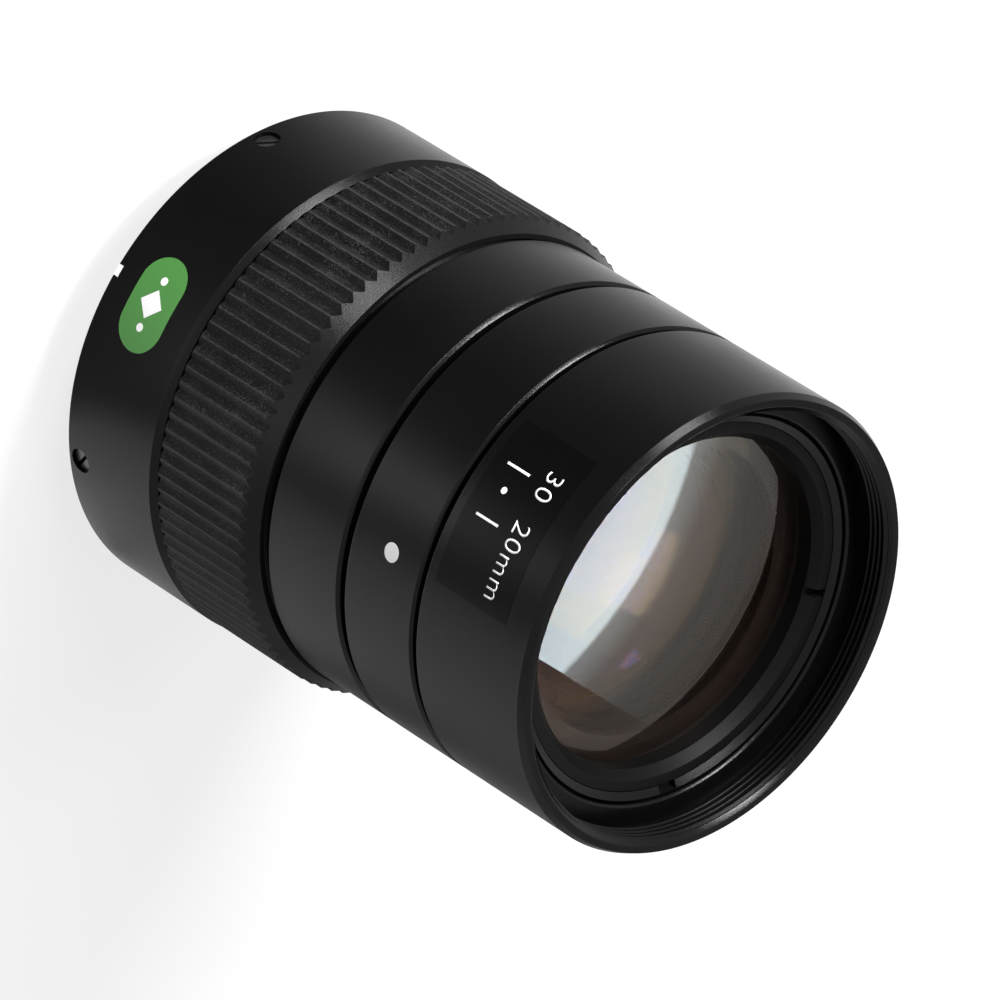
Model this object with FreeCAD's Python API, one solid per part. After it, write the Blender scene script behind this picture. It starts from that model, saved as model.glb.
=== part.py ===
import FreeCAD, Part
import math
import os

from FreeCAD import Vector

os.makedirs("parts", exist_ok=True)

# C-mount zoom lens for machine vision, standing on its mount thread.
# All sizes are millimetres and all angles are degrees about +Z, counted from +X.
# The origin is the centre of the mount's flange face and +Z is the optical axis, towards the front.

# Fits, as radial or axial gaps between pieces
slip = 0.05             # pieces that turn or slide on each other, and screwed joints
cam_gap = 0.10          # turning cam tube inside the fixed index ring
end_play = 0.05         # turning rings between their end stops
pin_play = 0.05         # pins in their slots
slot_step = 6.0         # length of a cam slot's flat facets, about the axis
slot_end_facets = 8     # facets in each round end of a cam slot

# Rear: mount thread, flange and the disc that closes the barrel
thread_radius = 12.70   # 1 inch 32 thread
thread_length = 4.0
thread_lead_in = 0.3
flange_radius = 15.5
flange_height = 1.0     # rear face of the barrel above the flange face
disc_inset = 0.3
disc_thickness = 5.0
disc_overlap = 2.45     # disc radius beyond the main tube
disc_opening = 16.0
disc_pocket = 2.5       # depth of the opening from the front of the disc
throat_height = 1.2     # lip in front of the rear glass

# Radial stack, from the optical axis outwards
tube_bore = 22.75       # main tube
tube_wall = 1.8
cam_wall = 1.55
sleeve_wall = 1.42
core_wall = 2.7         # metal ring under the rubber grip
grip_thickness = 1.56   # rubber at the bottom of the ribs
rib_height = 0.54
barrel_wall = 2.45
filter_wall = 2.07      # zoom ring outside the filter thread
front_tube_wall = 1.2   # main tube around the front cell

# Lengths along the axis, from the rear to the front
barrel_length = 15.2
grip_gap = 0.40
grip_length = 16.34
mid_sleeve_gap = 1.06
mid_sleeve_length = 11.94
index_ring_gap = 1.09
index_ring_length = 11.27
zoom_ring_gap = 0.83

# Edges
barrel_chamfer = 0.76
sleeve_chamfer = 0.39
index_chamfer = 0.34
fine_chamfer = 0.15
bevel_height = 0.97     # front outer edge of the zoom ring
bevel_width = 0.46
rim_width = 0.85        # flat front face of the zoom ring

# Rubber grip
rib_count = 98
rib_phase = 0.0
rear_round = 0.5        # rounding of the ribs' rear ends
rear_round_step = 0.15  # drop and run of its two slopes where they meet
lip_drop = 1.43         # radius lost from the crests to the front lip
run_out_angle = 34.4    # cone at the front of the ribs, to the axis

# Set screws in the rear barrel
set_screw_radius = 1.5
set_screw_height = 2.14
set_screw_angle = -132.0
set_screw_count = 4
set_screw_recess = 0.5
set_screw_groove = 0.9
driver_slot_width = 0.45
driver_slot_depth = 1.0
driver_slot_turn = -39.0  # from the turning direction of the barrel
screw_play = 0.02
screw_tip_gap = 0.10

# Focus: the ring turns and pins carry the focus cell along the axis
pin_radius = 1.25
pin_count = 3
focus_min = -30.0
focus_max = 60.0
focus_travel = 3.6      # along the axis over the whole turn
focus_pin_offset = 9.77  # pin height above the rear end of the grip
focus_pin_angle = 30.0
groove_floor = 1.2      # metal left outside a groove in the focus core
core_neck_step = 0.9    # neck of the core in the gaps beside the grip
core_edge = 0.6

# Zoom: the cam tube turns and pins carry the zoom cell along the axis
zoom_max = 31.8
zoom_travel = 4.6
zoom_pin_angle = 90.0
cam_end_wall = 0.9
guide_screw_radius = 1.55
guide_tip_radius = 0.95
guide_screw_offset = 3.3
guide_screw_angle = 30.0
guide_groove_depth = 0.7
guide_groove_land = 0.27  # main tube between the stop groove and the front cell's seat

# Lands of the main tube that carry the two fixed sleeves
rear_land_length = 2.5
land_before_gap = 4.0
land_after_gap = 2.5

# Cells and glass
land_width = 2.2
waist_depth = 1.3
cell_rear_reach = 5.6   # from the pins to the rear end of a moving cell
cell_front_reach = 5.4
cell_wall = 4.85        # wall of a moving cell under its waist
cell_glass_gap = 0.05
cell_lip = 1.8
cell_lip_width = 1.9
cell_ring_height = 2.4
ring_edge = 0.6
ring_slot_shallow = 0.7
focus_rear_edge = 1.6
focus_rear_bulge = 1.2
focus_spacer_height = 2.0
focus_front_edge = 1.4
focus_front_hollow = 1.6
focus_front_bulge = 2.6
zoom_flint_edge = 3.4
zoom_flint_hollow = 0.8
zoom_crown_edge = 1.6
zoom_crown_bulge = 1.4
zoom_cement_sag = 1.6
rear_glass_radius = 11.10
rear_glass_lip = 1.4
rear_glass_edge = 2.7
rear_glass_bulge = 0.9
rear_ring_inset = 0.4
rear_ring_height = 1.4
front_glass_wall = 2.4
front_glass_edge = 3.3
front_glass_depth = 3.6  # rim of the front glass below the front of its cell
front_glass_sag = 1.0
front_glass_hollow = 2.2
front_spacer_height = 1.1
second_glass_edge = 1.2
second_glass_hollow = 1.0
second_glass_bulge = 2.2
front_lip_height = 0.6
front_lip_width = 3.4
ring_thread_wall = 1.05
ring_bore_step = 0.85   # retaining ring's bore inside the rim of the glass
ring_height = 3.1
ring_bevel_height = 1.13
ring_bevel_width = 1.0
ring_slot_width = 1.0
ring_slot_depth = 1.2
ring_slot_angle = 116.0
notch_width = 2.4
notch_depth = 1.0
notch_angle = 39.0
cell_chamfer_height = 0.45

# Mouth of the zoom ring, in front of the front cell
mouth_depth = 4.40      # floor below the front face
cell_recess = 0.38      # front of the cell below the floor
floor_thickness = 1.48
floor_gap = 0.2
floor_chamfer = 0.25
relief_height = 1.12
relief_depth = 0.5
mouth_bevel = 0.71

# Aperture stop
web_offset = 4.0        # rear of the web in front of the mid sleeve's rear end
web_thickness = 1.3
web_width = 5.7
stop_thickness = 0.5
stop_hole = 6.5
stop_ring_height = 2.0
stop_ring_width = 3.7

# Radii that follow
tube_radius = tube_bore + tube_wall
cam_bore = tube_radius + slip
cam_radius = cam_bore + cam_wall
sleeve_bore = cam_radius + cam_gap
sleeve_radius = sleeve_bore + sleeve_wall
land_radius = sleeve_bore - slip
core_bore = tube_radius + slip
core_radius = core_bore + core_wall
core_neck_radius = core_radius - core_neck_step
grip_bore = core_radius + slip
valley_radius = grip_bore + grip_thickness - slip
crest_radius = valley_radius + rib_height
disc_radius = tube_radius + disc_overlap
disc_bore = disc_radius + slip
barrel_radius = disc_bore + barrel_wall
filter_radius = sleeve_radius - filter_wall
cell_radius = tube_bore - slip
cell_glass_radius = cell_radius - waist_depth - cell_wall - cell_glass_gap
front_bore = tube_radius - front_tube_wall
front_cell_radius = front_bore - slip
slot_radius = pin_radius + pin_play

# Heights that follow
barrel_start = flange_height
barrel_end = barrel_start + barrel_length
disc_start = barrel_start + disc_inset
disc_end = disc_start + disc_thickness
grip_start = barrel_end + grip_gap
grip_end = grip_start + grip_length
mid_sleeve_start = grip_end + mid_sleeve_gap
mid_sleeve_end = mid_sleeve_start + mid_sleeve_length
index_ring_start = mid_sleeve_end + index_ring_gap
index_ring_end = index_ring_start + index_ring_length
zoom_ring_start = index_ring_end + zoom_ring_gap
set_screw_z = barrel_start + set_screw_height
focus_pin_z = grip_start + focus_pin_offset
front_land_start = index_ring_start - land_before_gap
front_land_end = index_ring_start + land_after_gap
cam_start = front_land_end + cam_gap
zoom_pin_z = cam_start + cam_end_wall + slot_radius + zoom_travel
guide_screw_z = zoom_pin_z + slot_radius + guide_screw_offset
front_seat = guide_screw_z + guide_tip_radius + pin_play + guide_groove_land
second_glass_z = front_seat + front_lip_height
front_spacer_z = second_glass_z + second_glass_edge
front_glass_z = front_spacer_z + front_spacer_height
front_glass_rim = front_glass_z + front_glass_edge
front_cell_end = front_glass_rim + front_glass_depth
floor_z = front_cell_end + cell_recess
front_z = floor_z + mouth_depth
floor_rear = floor_z - floor_thickness
web_start = mid_sleeve_start + web_offset
web_end = web_start + web_thickness


def turned(outline):
    """Solid turned about the optical axis from a closed outline of (radius, height) corners."""
    corners = [Vector(radius, 0, height) for radius, height in outline]
    wire = Part.makePolygon(corners + corners[:1])
    return Part.Face(wire).revolve(Vector(0, 0, 0), Vector(0, 0, 1), 360)


def ring(inner, outer, bottom, top):
    """Plain turned ring."""
    return turned([(inner, bottom), (outer, bottom), (outer, top), (inner, top)])


def at_angle(shape, angle):
    """The shape, turned about the optical axis."""
    shape.rotate(Vector(0, 0, 0), Vector(0, 0, 1), angle)
    return shape


def around(shape, count, first=0.0):
    """Copies of a shape, evenly spaced about the optical axis."""
    copies = [shape.copy() for _ in range(count)]
    return [at_angle(copy, first + 360.0 * place / count) for place, copy in enumerate(copies)]


def radial_pin(radius, inner, outer, height):
    """Cylinder that points outwards along +X."""
    return Part.makeCylinder(radius, outer - inner, Vector(inner, 0, height), Vector(1, 0, 0))


def radial_slab(width, inner, outer, bottom, top):
    """Flat-sided block that points outwards along +X."""
    corner = Vector(inner, -width / 2, bottom)
    return Part.makeBox(outer - inner, width, top - bottom, corner)


def guide_slot(radius, inner, outer, bottom, top):
    """Straight slot along the axis, with round ends at the two pin heights."""
    middle = radial_slab(2 * radius, inner, outer, bottom, top)
    ends = [radial_pin(radius, inner, outer, height) for height in (bottom, top)]
    return middle.fuse(ends)


def arc_groove(radius, inner, outer, height, sweep):
    """Groove round the axis from angle 0 to the sweep, with round ends."""
    section = Part.Face(Part.makePolygon([
        Vector(inner, 0, height - radius), Vector(outer, 0, height - radius),
        Vector(outer, 0, height + radius), Vector(inner, 0, height + radius),
        Vector(inner, 0, height - radius)]))
    middle = section.revolve(Vector(0, 0, 0), Vector(0, 0, 1), sweep)
    ends = [at_angle(radial_pin(radius, inner, outer, height), angle) for angle in (0, sweep)]
    return middle.fuse(ends)


def helical_slot(radius, inner, outer, bottom, rise, sweep):
    """Slot that climbs by the rise from angle 0 to the sweep, faceted, as wide as a radial pin's path."""
    path = (inner + outer) / 2 * math.radians(sweep)
    slope = math.degrees(math.atan2(rise, path))
    half_turn = 180.0 / slot_end_facets
    fan = [half_turn * (place + 0.5) for place in range(slot_end_facets // 2)]
    steps = math.ceil(sweep / slot_step)
    places = [(0.0, 180.0 - angle) for angle in fan]
    places += [(place / steps, 90.0) for place in range(steps + 1)]
    places += [(1.0, 90.0 - half_turn / 2 - angle + fan[0]) for angle in fan]
    pin = (radius, inner, outer, bottom, rise, sweep)
    left = [slot_edge(pin, part, slope + turn) for part, turn in places]
    right = [slot_edge(pin, part, slope - turn) for part, turn in places]
    faces = [facet(left[0][0], left[0][1], right[0][1], right[0][0])]
    faces += [facet(left[-1][0], left[-1][1], right[-1][1], right[-1][0])]
    for one, two in zip(zip(left, right), zip(left[1:], right[1:])):
        (left_in, left_out), (right_in, right_out) = one
        (next_left_in, next_left_out), (next_right_in, next_right_out) = two
        faces += halves(left_in, left_out, next_left_out, next_left_in)
        faces += halves(right_in, right_out, next_right_out, next_right_in)
        faces += halves(left_in, right_in, next_right_in, next_left_in)
        faces += halves(left_out, right_out, next_right_out, next_left_out)
    return Part.Solid(Part.makeShell(faces))


def slot_edge(pin, part, turn):
    """Ends of one line of a radial pin's surface, at a part of the pin's path and a turn about the pin."""
    radius, inner, outer, bottom, rise, sweep = pin
    across = radius * math.cos(math.radians(turn))
    height = bottom + rise * part + radius * math.sin(math.radians(turn))
    way = math.radians(sweep * part)
    ends = [Vector(reach, across, height) for reach in (inner, outer)]
    return [Vector(
        end.x * math.cos(way) - end.y * math.sin(way),
        end.x * math.sin(way) + end.y * math.cos(way),
        end.z) for end in ends]


def facet(*corners):
    """Flat face through its corners."""
    return Part.Face(Part.makePolygon(list(corners) + [corners[0]]))


def halves(one, two, three, four):
    """A bent four-sided patch as two flat triangles."""
    return [facet(one, two, three), facet(one, three, four)]


def cap_rise(clear, sag, radius):
    """Height of a spherical cap above its rim at a radius."""
    sphere = (clear ** 2 + sag ** 2) / (2 * abs(sag))
    rise = math.sqrt(sphere ** 2 - radius ** 2) - (sphere - abs(sag))
    return math.copysign(rise, sag)


def glass(radius, rear, front):
    """Lens element. Rear and front are (rim height, clear radius, sag); a positive sag bulges outwards."""
    rear_z, rear_clear, rear_sag = rear
    front_z, front_clear, front_sag = front
    rear_middle = rear_z - cap_rise(rear_clear, rear_sag, rear_clear / 2)
    front_middle = front_z + cap_rise(front_clear, front_sag, front_clear / 2)
    rear_vertex = Vector(0, 0, rear_z - rear_sag)
    front_vertex = Vector(0, 0, front_z + front_sag)
    rear_rim = Vector(rear_clear, 0, rear_z)
    front_rim = Vector(front_clear, 0, front_z)
    rear_corner = Vector(radius, 0, rear_z)
    front_corner = Vector(radius, 0, front_z)
    edges = [
        Part.Arc(rear_vertex, Vector(rear_clear / 2, 0, rear_middle), rear_rim).toShape(),
        Part.LineSegment(rear_rim, rear_corner).toShape(),
        Part.LineSegment(rear_corner, front_corner).toShape(),
        Part.LineSegment(front_corner, front_rim).toShape(),
        Part.Arc(front_rim, Vector(front_clear / 2, 0, front_middle), front_vertex).toShape(),
        Part.LineSegment(front_vertex, rear_vertex).toShape()]
    return Part.Face(Part.Wire(edges)).revolve(Vector(0, 0, 0), Vector(0, 0, 1), 360)


def c_mount_ring():
    """Mount thread, flange and clamping disc, with the rear glass seat and the set screw groove."""
    bore = rear_glass_radius + cell_glass_gap
    lip = rear_glass_radius - rear_glass_lip
    glass_seat = rear_ring_inset + rear_ring_height + rear_glass_edge - thread_length
    return turned([
        (bore, -thread_length),
        (thread_radius - thread_lead_in, -thread_length),
        (thread_radius, thread_lead_in - thread_length),
        (thread_radius, 0),
        (flange_radius, 0),
        (flange_radius, disc_start),
        (disc_radius, disc_start),
        (disc_radius, set_screw_z - set_screw_groove),
        (disc_radius - set_screw_groove, set_screw_z),
        (disc_radius, set_screw_z + set_screw_groove),
        (disc_radius, disc_end),
        (disc_opening, disc_end),
        (disc_opening, disc_end - disc_pocket),
        (lip, glass_seat + throat_height),
        (lip, glass_seat),
        (bore, glass_seat)])


def rear_glass():
    """Rear element on its seat in the mount ring."""
    rear_rim = rear_ring_inset + rear_ring_height - thread_length
    clear = rear_glass_radius - rear_glass_lip
    front_rim = rear_rim + rear_glass_edge
    rear_face = (rear_rim, clear, rear_glass_bulge)
    front_face = (front_rim, clear, rear_glass_bulge)
    return glass(rear_glass_radius, rear_face, front_face)


def rear_retaining_ring():
    """Slotted ring that holds the rear glass inside the mount thread."""
    bottom = rear_ring_inset - thread_length
    top = bottom + rear_ring_height
    bore = rear_glass_radius - rear_glass_lip
    body = turned([
        (bore + ring_edge, bottom), (rear_glass_radius, bottom), (rear_glass_radius, top),
        (bore, top), (bore, bottom + ring_edge)])
    slot_top = bottom + ring_slot_shallow
    slot = radial_slab(ring_slot_width, bore - 1, rear_glass_radius + 1, bottom - 1, slot_top)
    return body.cut(around(slot, 2))


def rear_barrel():
    """Outer barrel that clamps the mount ring and is screwed onto the main tube."""
    shoulder = disc_end + slip
    body = turned([
        (disc_bore, barrel_start),
        (barrel_radius - fine_chamfer, barrel_start),
        (barrel_radius, barrel_start + fine_chamfer),
        (barrel_radius, barrel_end - barrel_chamfer),
        (barrel_radius - barrel_chamfer, barrel_end),
        (tube_radius + slip, barrel_end),
        (tube_radius + slip, shoulder),
        (disc_bore, shoulder)])
    hole = radial_pin(set_screw_radius, disc_bore - 1, barrel_radius + 1, set_screw_z)
    return body.cut(around(hole, set_screw_count, set_screw_angle))


def set_screw():
    """Slotted set screw with a cone point in the groove of the mount ring."""
    radius = set_screw_radius - screw_play
    point = disc_radius - set_screw_groove + screw_tip_gap
    shank_start = point + radius
    head = barrel_radius - set_screw_recess
    shank = radial_pin(radius, shank_start, head, set_screw_z)
    tip = Part.makeCone(0, radius, shank_start - point, Vector(point, 0, set_screw_z), Vector(1, 0, 0))
    floor = head - driver_slot_depth
    low = set_screw_z - driver_slot_width / 2
    corner = Vector(floor, -set_screw_radius, low)
    slot = Part.makeBox(driver_slot_depth + 1, 2 * set_screw_radius, driver_slot_width, corner)
    slot.rotate(Vector(floor, 0, set_screw_z), Vector(1, 0, 0), driver_slot_turn)
    return shank.fuse(tip).cut(slot).removeSplitter()


def main_tube():
    """Fixed inner tube with lands for the sleeves, a web for the stop, guide slots and a stop groove."""
    start = disc_end + 2 * slip
    end = floor_rear - cam_gap
    web_bore = tube_bore - web_width
    body = turned([
        (tube_radius, start),
        (tube_radius, mid_sleeve_start + end_play),
        (land_radius, mid_sleeve_start + end_play),
        (land_radius, mid_sleeve_start + rear_land_length),
        (tube_radius, mid_sleeve_start + rear_land_length),
        (tube_radius, front_land_start),
        (land_radius, front_land_start),
        (land_radius, front_land_end),
        (tube_radius, front_land_end),
        (tube_radius, end),
        (front_bore, end),
        (front_bore, front_seat),
        (tube_bore, front_seat),
        (tube_bore, web_end),
        (web_bore, web_end),
        (web_bore, web_start),
        (tube_bore, web_start),
        (tube_bore, start)])
    focus_low, focus_high = focus_limits()
    inner = tube_bore - 1
    outer = land_radius + 1
    focus_slot = guide_slot(slot_radius, inner, outer, focus_low - pin_play, focus_high + pin_play)
    zoom_low = zoom_pin_z - zoom_travel
    zoom_slot = guide_slot(slot_radius, inner, tube_radius + 1, zoom_low - pin_play, zoom_pin_z + pin_play)
    floor = tube_radius - guide_groove_depth
    stop_groove = arc_groove(guide_tip_radius + pin_play, floor, tube_radius + 1, guide_screw_z, zoom_max)
    cuts = around(focus_slot, pin_count, focus_pin_angle)
    cuts += around(zoom_slot, pin_count, zoom_pin_angle)
    cuts += around(stop_groove, pin_count, guide_screw_angle)
    return body.cut(cuts)


def focus_limits():
    """Lowest and highest place of the focus pins along the axis."""
    lead = focus_travel / (focus_max - focus_min)
    return focus_pin_z - lead * focus_max, focus_pin_z - lead * focus_min


def mid_sleeve():
    """Fixed smooth sleeve in front of the grip."""
    return turned([
        (sleeve_bore, mid_sleeve_start),
        (sleeve_radius - fine_chamfer, mid_sleeve_start),
        (sleeve_radius, mid_sleeve_start + fine_chamfer),
        (sleeve_radius, mid_sleeve_end - sleeve_chamfer),
        (sleeve_radius - sleeve_chamfer, mid_sleeve_end),
        (sleeve_bore, mid_sleeve_end)])


def index_ring():
    """Fixed sleeve that carries the index dot."""
    return turned([
        (sleeve_bore, index_ring_start),
        (sleeve_radius - fine_chamfer, index_ring_start),
        (sleeve_radius, index_ring_start + fine_chamfer),
        (sleeve_radius, index_ring_end - index_chamfer),
        (sleeve_radius - index_chamfer, index_ring_end),
        (sleeve_bore, index_ring_end)])


def zoom_ring():
    """Turning front barrel with a bevelled mouth, the filter thread's bore, a relief and a floor."""
    rim_outer = sleeve_radius - bevel_width
    rim_inner = rim_outer - rim_width
    thread_end = floor_z + relief_height
    floor_edge = front_cell_radius + floor_gap
    return turned([
        (cam_radius + slip, zoom_ring_start),
        (sleeve_radius - fine_chamfer, zoom_ring_start),
        (sleeve_radius, zoom_ring_start + fine_chamfer),
        (sleeve_radius, front_z - bevel_height),
        (rim_outer, front_z),
        (rim_inner, front_z),
        (filter_radius, front_z - mouth_bevel),
        (filter_radius, thread_end),
        (filter_radius + relief_depth, thread_end),
        (filter_radius + relief_depth, floor_z),
        (floor_edge + floor_chamfer, floor_z),
        (floor_edge, floor_z - floor_chamfer),
        (floor_edge, floor_rear),
        (cam_radius + slip, floor_rear)])


def cam_tube():
    """Turning tube with three helical cam slots and three guide screw holes."""
    body = ring(cam_bore, cam_radius, cam_start, floor_rear)
    low = zoom_pin_z - zoom_travel
    slot = helical_slot(slot_radius, cam_bore - 0.5, cam_radius + 0.5, low, zoom_travel, zoom_max)
    hole = radial_pin(guide_screw_radius + screw_play, cam_bore - 1, cam_radius + 1, guide_screw_z)
    cuts = around(slot, pin_count, zoom_pin_angle - zoom_max)
    cuts += around(hole, pin_count, guide_screw_angle)
    return body.cut(cuts)


def guide_screw():
    """Shouldered screw in the cam tube whose tip runs in the stop groove."""
    tip_end = tube_radius - guide_groove_depth + slip
    body = radial_pin(guide_screw_radius, cam_bore + slip, cam_radius - slip, guide_screw_z)
    tip = radial_pin(guide_tip_radius, tip_end, cam_bore + 2 * slip, guide_screw_z)
    return body.fuse(tip)


def focus_core():
    """Metal focus ring that turns on the main tube, with three helical grooves for the focus pins."""
    start = barrel_end + end_play
    end = mid_sleeve_start - end_play
    body = turned([
        (core_bore, start),
        (core_neck_radius, start),
        (core_neck_radius, grip_start),
        (core_radius, grip_start),
        (core_radius, grip_end - core_edge),
        (core_neck_radius, grip_end),
        (core_neck_radius, end),
        (core_bore, end)])
    low = focus_limits()[0]
    sweep = focus_max - focus_min
    groove = helical_slot(slot_radius, core_bore - 0.5, core_radius - groove_floor, low, focus_travel, sweep)
    return body.cut(around(groove, pin_count, focus_pin_angle - focus_max))


def focus_grip():
    """Rubber sleeve with V ribs along the axis, rounded at the rear and run out on a cone at the front."""
    corners = []
    for place in range(2 * rib_count):
        radius = valley_radius if place % 2 else crest_radius
        angle = math.radians(rib_phase) + place * math.pi / rib_count
        corners.append(Vector(radius * math.cos(angle), radius * math.sin(angle), grip_start))
    star = Part.Face(Part.makePolygon(corners + corners[:1]))
    ribs = star.extrude(Vector(0, 0, grip_length))
    lip_radius = crest_radius - lip_drop
    over = crest_radius + 0.5
    cone_start = grip_end - (over - lip_radius) / math.tan(math.radians(run_out_angle))
    envelope = turned([
        (grip_bore, grip_start),
        (crest_radius - rear_round, grip_start),
        (crest_radius - rear_round_step, grip_start + rear_round_step),
        (crest_radius, grip_start + rear_round),
        (over, grip_start + rear_round),
        (over, cone_start),
        (lip_radius, grip_end),
        (grip_bore, grip_end)])
    return ribs.common(envelope)


def moving_cell(pin_z, first_angle):
    """Lens cell with two guide lands, a waist with three pin holes and a lip behind the glass."""
    start = pin_z - cell_rear_reach
    end = pin_z + cell_front_reach
    bore = cell_glass_radius + cell_glass_gap
    waist = cell_radius - waist_depth
    body = turned([
        (cell_glass_radius - cell_lip_width, start),
        (cell_radius, start),
        (cell_radius, start + land_width),
        (waist, start + land_width),
        (waist, end - land_width),
        (cell_radius, end - land_width),
        (cell_radius, end),
        (bore, end),
        (bore, start + cell_lip),
        (cell_glass_radius - cell_lip_width, start + cell_lip)])
    hole = radial_pin(pin_radius, pin_inner_radius(), cell_radius + 1, pin_z)
    return body.cut(around(hole, pin_count, first_angle))


def pin_inner_radius():
    """Inner end of the follower pins, inside the wall of the cell."""
    return (cell_glass_radius + cell_radius - waist_depth) / 2


def follower_pins(pin_z, outer, first_angle):
    """Three pins pressed into a moving cell."""
    pin = radial_pin(pin_radius, pin_inner_radius(), outer, pin_z)
    return Part.Compound(around(pin, pin_count, first_angle))


def cell_ring(bottom):
    """Threaded ring that holds the glass in a moving cell."""
    bore = cell_glass_radius - cell_lip_width
    top = bottom + cell_ring_height
    body = turned([
        (bore, bottom), (cell_glass_radius, bottom), (cell_glass_radius, top), (bore + ring_edge, top),
        (bore, top - ring_edge)])
    slot_bottom = top - ring_slot_shallow
    slot = radial_slab(ring_slot_width, bore - 1, cell_glass_radius + 1, slot_bottom, top + 1)
    return body.cut(around(slot, 2))


def focus_elements():
    """The focus group's two elements, the spacer between them and the ring in front."""
    rear = focus_pin_z - cell_rear_reach + cell_lip
    spacer = rear + focus_rear_edge
    front = spacer + focus_spacer_height
    holder = front + focus_front_edge
    clear = cell_glass_radius - cell_lip_width
    rear_element = glass(
        cell_glass_radius, (rear, clear, focus_rear_bulge), (spacer, clear, focus_rear_bulge))
    spacer_ring = ring(clear, cell_glass_radius, spacer, front)
    front_element = glass(
        cell_glass_radius, (front, clear, -focus_front_hollow), (holder, clear, focus_front_bulge))
    return rear_element, spacer_ring, front_element, cell_ring(holder)


def zoom_elements():
    """The zoom group's cemented flint and crown, and the ring in front."""
    rear = zoom_pin_z - cell_rear_reach + cell_lip
    middle = rear + zoom_flint_edge
    front = middle + zoom_crown_edge
    clear = cell_glass_radius - cell_lip_width
    flint = glass(cell_glass_radius, (rear, clear, -zoom_flint_hollow), (middle, clear, -zoom_cement_sag))
    crown = glass(cell_glass_radius, (middle, clear, zoom_cement_sag), (front, clear, zoom_crown_bulge))
    return flint, crown, cell_ring(front)


def front_cell():
    """Fixed cell for the front glass, with a wide chamfer and two spanner notches at its front."""
    ring_bore = front_cell_radius - ring_thread_wall
    glass_bore = front_cell_radius - front_glass_wall
    lip_bore = glass_bore - front_lip_width
    body = turned([
        (lip_bore, front_seat),
        (front_cell_radius, front_seat),
        (front_cell_radius, front_cell_end - fine_chamfer),
        (front_cell_radius - fine_chamfer, front_cell_end),
        (ring_bore, front_cell_end - cell_chamfer_height),
        (ring_bore, front_glass_rim - 0.2),
        (glass_bore, front_glass_rim - 0.2),
        (glass_bore, second_glass_z),
        (lip_bore, second_glass_z)])
    notch_end = front_cell_radius - 0.2
    notch_bottom = front_cell_end - notch_depth
    notch = radial_slab(notch_width, ring_bore - 1, notch_end, notch_bottom, front_cell_end + 1)
    return body.cut(around(notch, 2, notch_angle))


def front_retaining_ring():
    """Slotted ring with a bevelled bore that holds the front glass."""
    outer = front_cell_radius - ring_thread_wall - slip
    bore = front_glass_radius() - ring_bore_step
    top = front_glass_rim + ring_height
    body = turned([
        (bore, front_glass_rim),
        (outer, front_glass_rim),
        (outer, top),
        (bore + ring_bevel_width, top),
        (bore, top - ring_bevel_height)])
    slot = radial_slab(ring_slot_width, bore - 1, outer + 1, top - ring_slot_depth, top + 1)
    return body.cut(around(slot, 2, ring_slot_angle))


def front_glass_radius():
    """Edge radius of the two front elements."""
    return front_cell_radius - front_glass_wall - 2 * cell_glass_gap


def front_elements():
    """The large front meniscus, the spacer behind it and the second element."""
    radius = front_glass_radius()
    clear_rear = radius - front_lip_width
    front = glass(
        radius, (front_glass_z, clear_rear, -front_glass_hollow),
        (front_glass_rim, radius - ring_bore_step, front_glass_sag))
    spacer = ring(clear_rear, radius, front_spacer_z, front_glass_z)
    second = glass(
        radius, (second_glass_z, clear_rear, -second_glass_hollow),
        (front_spacer_z, clear_rear, second_glass_bulge))
    return front, spacer, second


def aperture_stop():
    """Thin fixed diaphragm on the web of the main tube."""
    return ring(stop_hole, cell_radius, web_end, web_end + stop_thickness)


def stop_retaining_ring():
    """Ring that holds the diaphragm against the web."""
    bottom = web_end + stop_thickness
    top = bottom + stop_ring_height
    bore = cell_radius - stop_ring_width
    body = ring(bore, cell_radius, bottom, top)
    slot = radial_slab(ring_slot_width, bore - 1, cell_radius + 1, top - ring_slot_shallow, top + 1)
    return body.cut(around(slot, 2))


focus_rear, focus_spacer, focus_front, focus_ring_piece = focus_elements()
zoom_flint, zoom_crown, zoom_ring_piece = zoom_elements()
front_element, front_spacer, second_element = front_elements()
pin_end_focus = core_radius - groove_floor - 2 * pin_play
pin_end_zoom = cam_radius - 2 * pin_play

nodes = {
    "c_mount_ring": c_mount_ring(),
    "rear_element": rear_glass(),
    "rear_retaining_ring": rear_retaining_ring(),
    "rear_barrel": rear_barrel(),
    "mount_set_screws": Part.Compound(around(set_screw(), set_screw_count, set_screw_angle)),
    "main_tube": main_tube(),
    "mid_sleeve": mid_sleeve(),
    "index_ring": index_ring(),
    "aperture_stop": aperture_stop(),
    "stop_retaining_ring": stop_retaining_ring(),
    "front_cell": front_cell(),
    "front_element": front_element,
    "front_spacer": front_spacer,
    "second_element": second_element,
    "front_retaining_ring": front_retaining_ring(),
    "zoom_ring": zoom_ring(),
    "cam_tube": cam_tube(),
    "zoom_guide_screws": Part.Compound(around(guide_screw(), pin_count, guide_screw_angle)),
    "zoom_cell": moving_cell(zoom_pin_z, zoom_pin_angle),
    "zoom_cam_pins": follower_pins(zoom_pin_z, pin_end_zoom, zoom_pin_angle),
    "zoom_flint": zoom_flint,
    "zoom_crown": zoom_crown,
    "zoom_retaining_ring": zoom_ring_piece,
    "focus_core": focus_core(),
    "focus_grip": focus_grip(),
    "focus_cell": moving_cell(focus_pin_z, focus_pin_angle),
    "focus_pins": follower_pins(focus_pin_z, pin_end_focus, focus_pin_angle),
    "focus_rear_element": focus_rear,
    "focus_spacer": focus_spacer,
    "focus_front_element": focus_front,
    "focus_retaining_ring": focus_ring_piece,
}

for name, shape in nodes.items():
    shape.exportStep("parts/" + name + ".step")
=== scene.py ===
import math
from contextlib import contextmanager

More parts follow.
